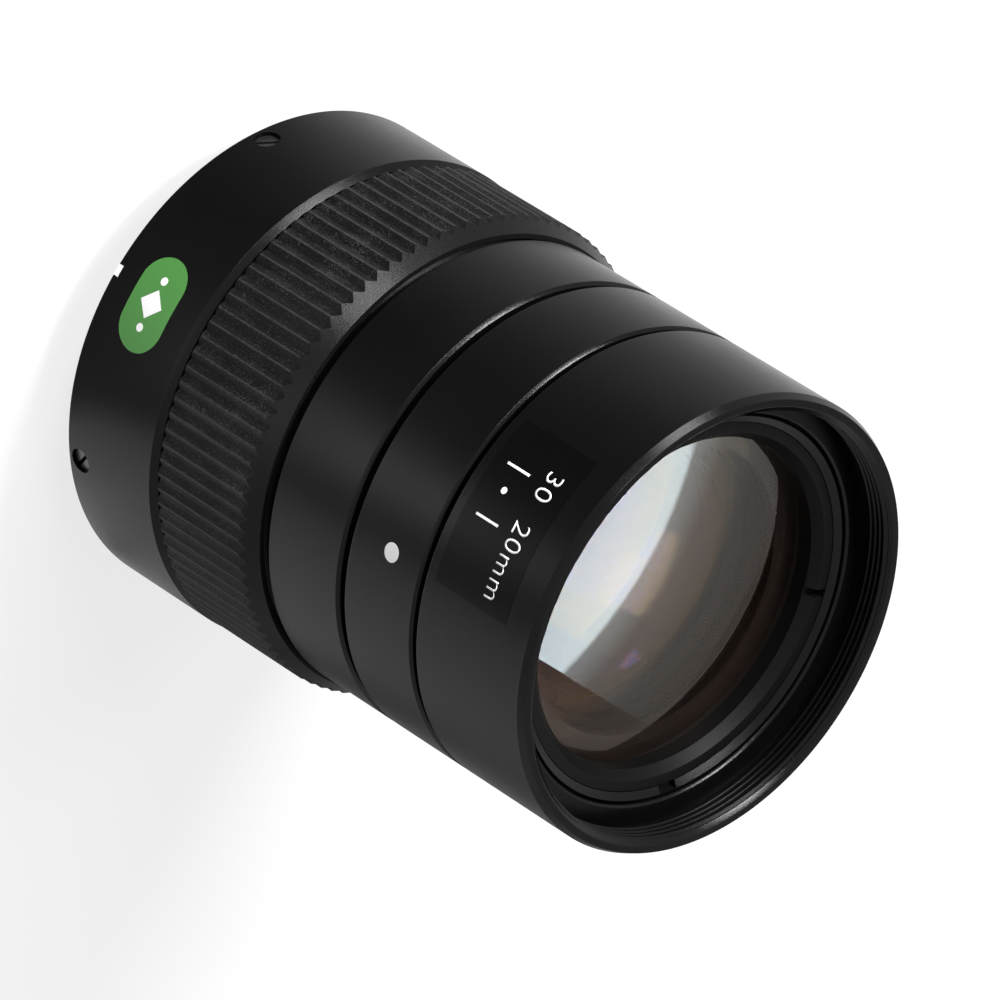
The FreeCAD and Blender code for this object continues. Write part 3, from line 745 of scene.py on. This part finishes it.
class LENS_OT_front_cell(bpy.types.Operator):
    """Front glass cell with its notches, and the slotted ring that holds the glass"""

    bl_idname = "lens.front_cell"
    bl_label = "Front cell"

    def execute(self, context):
        edge = context.scene.lens_sizes.edge_break
        lacquer = matt_lacquer()
        bright = turned_edge(context.scene.lens_colours)
        fine = 0.15
        ring_bore = cell_radius - 1.05
        glass_bore = cell_radius - 2.4
        lip_bore = glass_bore - 3.4
        lip_end = cell_start + 0.6
        seat = ring_start - 0.2
        slope = 0.45
        cell = turned([
            (lip_bore, cell_start),
            (cell_radius, cell_start),
            (cell_radius, cell_end - fine),
            (cell_radius - fine, cell_end),
            (ring_bore, cell_end - slope),
            (ring_bore, seat),
            (glass_bore, seat),
            (glass_bore, lip_end),
            (lip_bore, lip_end)], edge)
        wall, width, depth = 0.2, 2.4, 1.0
        notch(cell, 39.0, width, ring_bore - 1, cell_radius - wall, depth, cell_end)
        smooth(cell)
        dress(cell, lacquer, bright)
        settle(cell, "front_cell_finished", lacquer, ["front_cell"])
        bore = front_glass_radius - 0.85
        chamfer_width, chamfer_height = 1.0, 1.13
        ring = turned([
            (bore, ring_start),
            (ring_radius, ring_start),
            (ring_radius, ring_end),
            (bore + chamfer_width, ring_end),
            (bore, ring_end - chamfer_height)], edge)
        width, depth = 1.0, 1.2
        notch(ring, 116.0, width, bore - 1, ring_radius + 1, depth, ring_end)
        smooth(ring)
        dress(ring, lacquer, lacquer)
        settle(ring, "front_retaining_ring_finished", lacquer, ["front_retaining_ring"])
        return {"FINISHED"}


front_glass_radius = reach("front_element")[0]


def lens_element(radius, rear, front):
    """Polished element. Rear and front are (rim height, clear radius, sag), and sag bulges outwards."""
    rear_z, rear_clear, rear_sag = rear
    front_z, front_clear, front_sag = front
    corners = arc((0.0, rear_z), (rear_clear, rear_z), -rear_sag)
    corners += [(radius, rear_z), (radius, front_z)]
    corners += arc((front_clear, front_z), (0.0, front_z), front_sag)
    piece = turned(corners)
    smooth(piece, 30.0, False)
    return piece


class LENS_OT_glass(bpy.types.Operator):
    """All glass elements, polished and coated, with blackened rims"""

    bl_idname = "lens.glass"
    bl_label = "Glass"

    def execute(self, context):
        coated = coated_glass()
        inner = inner_glass()
        # Painted reflection: the glass rims take the brown paint that stands in for the glow of inner
        # reflections.
        rim = brown_reflection_paint()
        clear_rear = front_glass_radius - 3.4
        cell_glass = reach("focus_rear_element")[0]
        clear = cell_glass - 1.9
        elements = [
            ("front_glass", "front_element", "barrel", "coated_front_glass", front_glass_radius,
             (65.2, clear_rear, -2.2), (68.5, front_glass_radius - 0.85, 1.0)),
            ("second_glass", "second_element", "barrel", "optical_glass", front_glass_radius,
             (62.9, clear_rear, -1.0), (64.1, clear_rear, 2.2)),
            ("zoom_crown_glass", "zoom_crown", "zoom_group", "optical_glass", cell_glass,
             (56.03, clear, 1.6), (57.63, clear, 1.4)),
            ("zoom_flint_glass", "zoom_flint", "zoom_group", "optical_glass", cell_glass,
             (52.63, clear, -0.8), (56.02, clear, -1.6)),
            ("focus_front_glass", "focus_front_element", "focus_group", "optical_glass", cell_glass,
             (26.17, clear, -1.6), (27.57, clear, 2.6)),
            ("focus_rear_glass", "focus_rear_element", "focus_group", "optical_glass", cell_glass,
             (22.57, clear, 1.2), (24.17, clear, 1.2)),
            ("rear_glass", "rear_element", "barrel", "optical_glass", 11.10,
             (-2.2, 9.7, 0.9), (0.5, 9.7, 0.9))]
        for name, node, body, slot, radius, rear, front in elements:
            piece = lens_element(radius, rear, front)
            for finish in (inner, coated if name == "front_glass" else inner, rim):
                piece.data.materials.append(finish)
            for face in piece.data.polygons:
                is_rim = abs(face.normal.z) < 0.1
                face.material_index = 2 if is_rim else int(face.normal.z > 0)
            settle(piece, name, coated, [node], body)
        glass_card(bpy.data.objects["front_glass"])
        return {"FINISHED"}


def slice_flat(piece, width, step=0.6):
    """Cuts a flat print into narrow strips, so that it can follow the curve."""
    choose(piece)
    with editing():
        for place in range(1, math.ceil(width / step)):
            bpy.ops.mesh.select_all(action="SELECT")
            bpy.ops.mesh.bisect(plane_co=((place * step - width / 2) * MM, 0, 0), plane_no=(1, 0, 0))


def flat_patch(width, height, middle, radius, corner=0.0, tilt=0.0):
    """Flat print before the -Y side, facing outwards, with round corners and a tilt where asked."""
    deselect()
    bpy.ops.mesh.primitive_plane_add(
        size=1, location=(0, -(radius + 2) * MM, middle * MM), rotation=(math.pi / 2, tilt, 0))
    piece = bpy.context.object
    piece.scale = (width * MM, height * MM, 1)
    bpy.ops.object.transform_apply()
    if corner:
        with editing("SELECT"):
            bpy.ops.mesh.bevel(offset=corner * MM, segments=24, affect="VERTICES")
    slice_flat(piece, 1.5 * width if tilt else width)
    return piece


def printed(piece, name, ink, radius, lift, angle, body="barrel"):
    """Wraps a flat print onto a turned surface, gives it its thickness, and turns and settles it."""
    deselect()
    bpy.ops.mesh.primitive_cylinder_add(vertices=720, radius=radius * MM, depth=0.2, location=(0, 0, 0))
    former = bpy.context.object
    modify(piece, "SHRINKWRAP", target=former, wrap_method="PROJECT", use_project_y=True,
           use_positive_direction=True, use_negative_direction=True, offset=lift * 0.5 * MM)
    modify(piece, "SOLIDIFY", thickness=lift * MM, offset=1.0)
    discard(former)
    drawn_at = -90.0
    settle(turn(piece, angle - drawn_at), name, ink, body=body)


def arc_width(first, last, radius):
    """Width of a flat print that covers two angles about the axis once it is wrapped."""
    return 2 * radius * math.sin(math.radians(last - first) / 2)


class LENS_OT_label(bpy.types.Operator):
    """Green label with a plain mark, and the white witness mark beside it"""

    bl_idname = "lens.label"
    bl_label = "Barrel label"

    def execute(self, context):
        colours = context.scene.lens_colours
        lift = context.scene.lens_sizes.print_lift
        first, last = -95.8, -73.3
        low, high = 4.92, 11.68
        middle = (low + high) / 2
        centre = (first + last) / 2
        width = arc_width(first, last, barrel_radius)
        patch = flat_patch(width, high - low, middle, barrel_radius, (high - low) / 2 * 0.999)
        green = print_ink("label_green", colours.label)
        printed(patch, "label", green, barrel_radius, 2 * lift, centre)
        smooth(patch, 25.0, False)
        ink = print_ink("white_ink", colours.ink)
        marks = [
            ("label_diamond", 2.5, 0.0, 0.0, math.pi / 4), ("label_dot_1", 1.0, -2.9, 0.4995, 0.0),
            ("label_dot_2", 1.0, 2.9, 0.4995, 0.0)]
        for name, size, offset, corner, tilt in marks:
            mark = flat_patch(size, size, middle, barrel_radius, corner, tilt)
            angle = centre + math.degrees(offset / barrel_radius)
            printed(mark, name, ink, barrel_radius + 2 * lift, lift, angle)
            smooth(mark, 25.0, False)
        witness_width, witness_height, witness_angle = 1.37, 0.7, -87.0
        witness = flat_patch(witness_width, witness_height, barrel_start + 0.5, barrel_radius)
        printed(witness, "witness_mark", ink, barrel_radius, lift, witness_angle)
        return {"FINISHED"}


class LENS_OT_scale(bpy.types.Operator):
    """Scale film with its ticks, dot and numbers, and the index dot"""

    bl_idname = "lens.scale"
    bl_label = "Zoom scale"

    def execute(self, context):
        colours = context.scene.lens_colours
        lift = context.scene.lens_sizes.print_lift
        ink = print_ink("white_ink", colours.ink)
        index_size, index_height, index_angle = 2.24, 53.33, -65.0
        dot = flat_patch(index_size, index_size, index_height, sleeve_radius, 1.119)
        printed(dot, "index_dot", ink, sleeve_radius, lift, index_angle)
        first, last = -107.5, -65.0
        low, high = 60.56, 72.25
        width = arc_width(first, last, sleeve_radius)
        film = flat_patch(width, high - low, (high + low) / 2, sleeve_radius)
        middle = (first + last) / 2
        printed(film, "scale_film", scale_film(colours), sleeve_radius, lift, middle, "zoom_ring")
        smooth(film, 25.0, False)
        base = sleeve_radius + lift
        tick_width, low, high = 0.3, 62.49, 66.05
        for name, angle in [("tick_30", -96.8), ("tick_20", -83.5)]:
            tick = flat_patch(tick_width, high - low, (high + low) / 2, base)
            printed(tick, name, ink, base, lift, angle, "zoom_ring")
        point_size, point_height, point_angle = 0.81, 64.27, -91.0
        point = flat_patch(point_size, point_size, point_height, base, 0.404)
        printed(point, "scale_dot", ink, base, lift, point_angle, "zoom_ring")
        low, high = 67.98, 70.32
        numbers = [("number_30", "30", -100.2, -93.2), ("number_20", "20mm", -87.0, -68.2)]
        for name, words, start, end in numbers:
            words = flat_words(words, arc_width(start, end, base), low, high, base)
            printed(words, name, ink, base, lift, (start + end) / 2, "zoom_ring")
        return {"FINISHED"}


def flat_words(body, width, low, high, radius):
    """Flat printed characters before the -Y side, fitted to a width and to the height of a digit."""
    deselect()
    bpy.ops.object.text_add(rotation=(math.pi / 2, 0, 0))
    text = bpy.context.object
    text.data.body = body
    text.data.resolution_u = 8
    text.data.offset = -0.012
    text.data.space_character = 1.12
    bpy.ops.object.convert(target="MESH")
    piece = bpy.context.object
    bpy.ops.object.transform_apply()
    xs = [vertex.co.x for vertex in piece.data.vertices]
    zs = [vertex.co.z for vertex in piece.data.vertices]
    across = width * MM / (max(xs) - min(xs))
    up = (high - low) * MM / (max(zs) - min(zs))
    piece.data.transform(Matrix.Translation((-(min(xs) + max(xs)) / 2, 0, -min(zs))))
    piece.data.transform(Matrix.Diagonal((across, 1, up, 1)))
    piece.data.transform(Matrix.Translation((0, -(radius + 2) * MM, low * MM)))
    slice_flat(piece, width)
    return piece


class LENS_OT_inner(bpy.types.Operator):
    """Finishes of the CAD pieces that show as they are"""

    bl_idname = "lens.inner"
    bl_label = "Inner pieces"

    def execute(self, context):
        metal = black_anodised(context.scene.lens_colours)
        black = inner_paint("matt_black_paint", "#090909", "#121212")
        # Painted reflection: the brown paint on the spacer, zoom cell, its ring and the stop stands in for
        # the glow of inner reflections.
        brown = brown_reflection_paint()
        finishes = {
            "focus_core": metal, "cam_tube": metal, "rear_retaining_ring": metal,
            "mount_set_screws": black_oxide(), "zoom_guide_screws": ground_steel(),
            "zoom_cam_pins": ground_steel(), "focus_pins": ground_steel(), "front_spacer": brown,
            "zoom_cell": brown, "zoom_retaining_ring": brown, "aperture_stop": brown}
        for name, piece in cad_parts.items():
            finish = finishes.get(name, black)
            piece.data.materials.clear()
            piece.data.materials.append(finish)
        return {"FINISHED"}


def soft_light(name, azimuth, elevation, distance, width, height, strength, roll=0.0):
    """Softbox in a direction from the lens, in degrees and metres. The strength is its radiance."""
    across = math.radians(azimuth)
    up = math.radians(elevation)
    way = Vector((math.cos(across) * math.cos(up), math.sin(across) * math.cos(up), math.sin(up)))
    deselect()
    bpy.ops.object.light_add(type="AREA", location=way * distance + Vector((0, 0, 0.06)))
    lamp = bpy.context.object
    lamp.name = name
    lamp.data.shape = "RECTANGLE"
    lamp.data.size = width
    lamp.data.size_y = height
    lamp.data.energy = strength * math.pi * width * height
    rolled = way.to_track_quat("Z", "Y") @ Quaternion((0, 0, 1), math.radians(roll))
    lamp.rotation_euler = rolled.to_euler()
    return lamp


def feather(lamp, steps, top, bow):
    """Fades a softbox upwards in (height, share) steps, which bow down on both sides of their top."""
    lamp.data.use_nodes = True
    tree = lamp.data.node_tree
    tree.nodes.clear()
    place = add_node(tree, "SeparateXYZ", {"Vector": add_node(tree, "TexCoord").outputs["UV"]})
    away = add_node(tree, "Math", {0: place.outputs["X"], 1: top}, operation="SUBTRACT")
    drop = add_node(tree, "Math", {0: away.outputs[0], 1: away.outputs[0]}, operation="MULTIPLY")
    level = add_node(tree, "Math", {
        0: drop.outputs[0], 1: -bow, 2: place.outputs["Y"]}, operation="MULTIPLY_ADD")
    fade = add_node(tree, "ValToRGB", {"Fac": level.outputs[0]})
    set_ramp(fade, [(height, [share] * 3) for height, share in steps])
    glow = add_node(tree, "Emission", {"Strength": fade.outputs["Color"]})
    add_node(tree, "OutputLight", {"Surface": glow.outputs["Emission"]})


def glass_card(glass):
    """Card behind the lens that only the front glass sees: bright above, and faint below."""
    card = soft_light("glass_card", 94.3, 43.0, 1.0, 0.33, 0.4, 29.0)
    card.data.color = linear("#c9edff")
    steps = [(0.0, 0.01), (0.2, 0.03), (0.38, 0.08), (0.5, 0.26), (0.525, 1.0), (1.0, 1.0)]
    feather(card, steps, 0.37, 0.36)
    seen_by = bpy.data.collections.new("glass_card_receivers")
    seen_by.objects.link(glass)
    card.light_linking.receiver_collection = seen_by


def looked_at(tree, path):
    """Is one for a ray that shows what it meets: a camera's, a mirrored or a transmitted one."""
    seen = add_node(tree, "Math", {
        0: path.outputs["Is Camera Ray"], 1: path.outputs["Is Transmission Ray"]}, operation="MAXIMUM")
    shown = add_node(tree, "Math", {
        0: seen.outputs[0], 1: path.outputs["Is Glossy Ray"]}, operation="MAXIMUM")
    return shown.outputs[0]


class LENS_OT_studio(bpy.types.Operator):
    """White table, soft lamps, plain background and the camera of the photograph"""

    bl_idname = "lens.studio"
    bl_label = "Studio"

    def execute(self, context):
        scene = context.scene
        deselect()
        bpy.ops.mesh.primitive_plane_add(size=6.0, location=(0, 0, mount_start * MM))
        table = bpy.context.object
        table.name = "table"
        table.data.materials.append(table_white())
        # Name, azimuth, elevation, distance, width, height, radiance and roll of each lamp
        for lamp in [
                ("high_strip", -163.5, 45.5, 1.3, 0.36, 0.18, 98.0, 22.0),
                ("upper_strip", -155.0, 37.0, 1.3, 0.5, 0.15, 26.0, 22.0),
                ("middle_strip", -130.0, 24.0, 1.3, 0.58, 0.16, 34.0, 10.0),
                ("low_strip", -152.5, 5.2, 1.3, 0.48, 0.16, 34.0, 13.0),
                ("top_light", 161.0, 62.0, 1.2, 0.2, 0.2, 20.0, 0.0),
                ("front_light", -70.0, 30.0, 1.3, 0.6, 0.6, 1.0, 0.0)]:
            soft_light(*lamp)
        scene.world = bpy.data.worlds.new("studio")
        scene.world.use_nodes = True
        tree = scene.world.node_tree
        tree.nodes.clear()
        white = opaque(linear("#ffffff"))
        light = add_node(tree, "Background", {"Color": white, "Strength": 0.3})
        plain = add_node(tree, "Background", {"Color": white, "Strength": 1.0})
        mixed = add_node(tree, "MixShader", {
            0: looked_at(tree, add_node(tree, "LightPath")), 1: light.outputs[0], 2: plain.outputs[0]})
        add_node(tree, "OutputWorld", {"Surface": mixed.outputs[0]})
        tilted = Matrix.Rotation(VIEW_TILT, 4, "X")
        turned_view = tilted @ Matrix.Rotation(math.pi / 2 + VIEW_ROLL, 4, "Z")
        deselect()
        bpy.ops.object.camera_add(location=CAMERA_PLACE, rotation=turned_view.to_euler())
        camera = bpy.context.object
        camera.data.sensor_width = SENSOR
        camera.data.lens = FOCAL_PIXELS * SENSOR / IMAGE_PIXELS
        camera.data.clip_start = 0.01
        camera.data.clip_end = 20.0
        scene.camera = camera
        scene.view_settings.view_transform = "Standard"
        return {"FINISHED"}


def table_white():
    """Matt white table, which shows as plain white apart from the object's soft shadow, with painted light,
    painted reflection and painted shade in what the metal mirrors.
    """
    material, tree, here = new_material("table_white")
    path = add_node(tree, "LightPath")
    # Painted light: a soft bright patch on the table before the lens, some 84 by 132 mm, which the black
    # sleeves mirror as a painted sheen.
    place = add_node(tree, "Mapping", {
        "Vector": here, "Location": (26 * MM, -90 * MM, mount_start * MM),
        "Rotation": (0.0, 0.0, math.radians(-72.0)),
        "Scale": (66 * MM, 42 * MM, 1.0)}, vector_type="TEXTURE")
    painted_pool = add_node(tree, "TexGradient", {
        "Vector": place.outputs["Vector"]}, gradient_type="QUADRATIC_SPHERE")
    # Painted reflection: in the black metal the table is painted brighter on one side and darker on the
    # other, round the lens, as if lit from one side.
    around = add_node(tree, "TexGradient", {"Vector": here}, gradient_type="RADIAL")
    mirrored = add_node(tree, "ValToRGB", {"Fac": around.outputs["Fac"]})
    steps = [(-180, 0.9), (-160, 0.7), (-142, 0.27), (-120, 0.06), (-100, 0.45), (-62, 0.7), (-52, 0.8),
             (-42, 3.0), (-23, 2.9), (-6, 2.05), (11, 1.1), (29, 0.2), (45, 0.0), (70, 0.0), (110, 0.85),
             (180, 0.9)]
    plain, strongest = 0.76, 4.0
    set_ramp(mirrored, [(angle / 360 + 0.5, [share / strongest] * 3) for angle, share in steps])
    painted_reflection_glow = add_node(tree, "Math", {
        0: mirrored.outputs["Color"], 1: strongest * plain}, operation="MULTIPLY")
    # Painted shade: beside the lens's foot the table is painted darker, over some 30 mm, and the barrel
    # mirrors that.
    foot = add_node(tree, "Mapping", {
        "Vector": here, "Location": (34 * MM, 0.0, 0.0),
        "Scale": (30 * MM, 30 * MM, 1.0)}, vector_type="TEXTURE")
    shade = add_node(tree, "TexGradient", {
        "Vector": foot.outputs["Vector"]}, gradient_type="QUADRATIC_SPHERE")
    left = add_node(tree, "Math", {0: shade.outputs["Fac"], 1: -0.7, 2: 1.0}, operation="MULTIPLY_ADD")
    painted_shade_glow = add_node(tree, "Math", {
        0: painted_reflection_glow.outputs[0], 1: left.outputs[0]}, operation="MULTIPLY")
    base = add_node(tree, "Mix", {0: path.outputs["Is Glossy Ray"], 2: plain, 3: painted_shade_glow.outputs[0]})
    glowing = add_node(tree, "Math", {
        0: painted_pool.outputs["Fac"], 1: 7.0, 2: base.outputs[0]}, operation="MULTIPLY_ADD")
    cloth = add_node(tree, "BsdfDiffuse", {"Color": opaque(linear("#7c7c7c"))})
    glow = add_node(tree, "Emission", {
        "Color": opaque(linear("#ffffff")), "Strength": glowing.outputs[0]})
    lit = add_node(tree, "AddShader", {0: cloth.outputs[0], 1: glow.outputs[0]})
    mixed = add_node(tree, "MixShader", {0: looked_at(tree, path), 1: cloth.outputs[0], 2: lit.outputs[0]})
    return surface(material, mixed)


class LENS_PT_pieces(bpy.types.Panel):
    """Lists the lens's sizes, colours and pieces"""

    bl_idname = "LENS_PT_pieces"
    bl_label = "Zoom lens"
    bl_space_type = "VIEW_3D"
    bl_region_type = "UI"
    bl_category = "Lens"

    def draw(self, context):
        for group in (context.scene.lens_sizes, context.scene.lens_colours):
            for name in group.__annotations__:
                self.layout.prop(group, name)
        for operator in PIECES:
            self.layout.operator(operator.bl_idname)


PIECES = [
    LENS_OT_studio, LENS_OT_inner, LENS_OT_barrel, LENS_OT_mount, LENS_OT_grip, LENS_OT_sleeves,
    LENS_OT_zoom_ring, LENS_OT_front_cell, LENS_OT_glass, LENS_OT_label, LENS_OT_scale]
CLASSES = [LensSizes, LensColours, *PIECES, LENS_PT_pieces]


def register():
    for entry in CLASSES:
        bpy.utils.register_class(entry)
    bpy.types.Scene.lens_sizes = bpy.props.PointerProperty(type=LensSizes)
    bpy.types.Scene.lens_colours = bpy.props.PointerProperty(type=LensColours)


def unregister():
    del bpy.types.Scene.lens_colours
    del bpy.types.Scene.lens_sizes
    for entry in reversed(CLASSES):
        bpy.utils.unregister_class(entry)


def main():
    """Makes the whole scene."""
    register()
    bpy.ops.lens.studio()
    bpy.ops.lens.inner()
    bpy.ops.lens.barrel()
    bpy.ops.lens.mount()
    bpy.ops.lens.grip()
    bpy.ops.lens.sleeves()
    bpy.ops.lens.zoom_ring()
    bpy.ops.lens.front_cell()
    bpy.ops.lens.glass()
    bpy.ops.lens.label()
    bpy.ops.lens.scale()


if __name__ == "__main__":
    main()
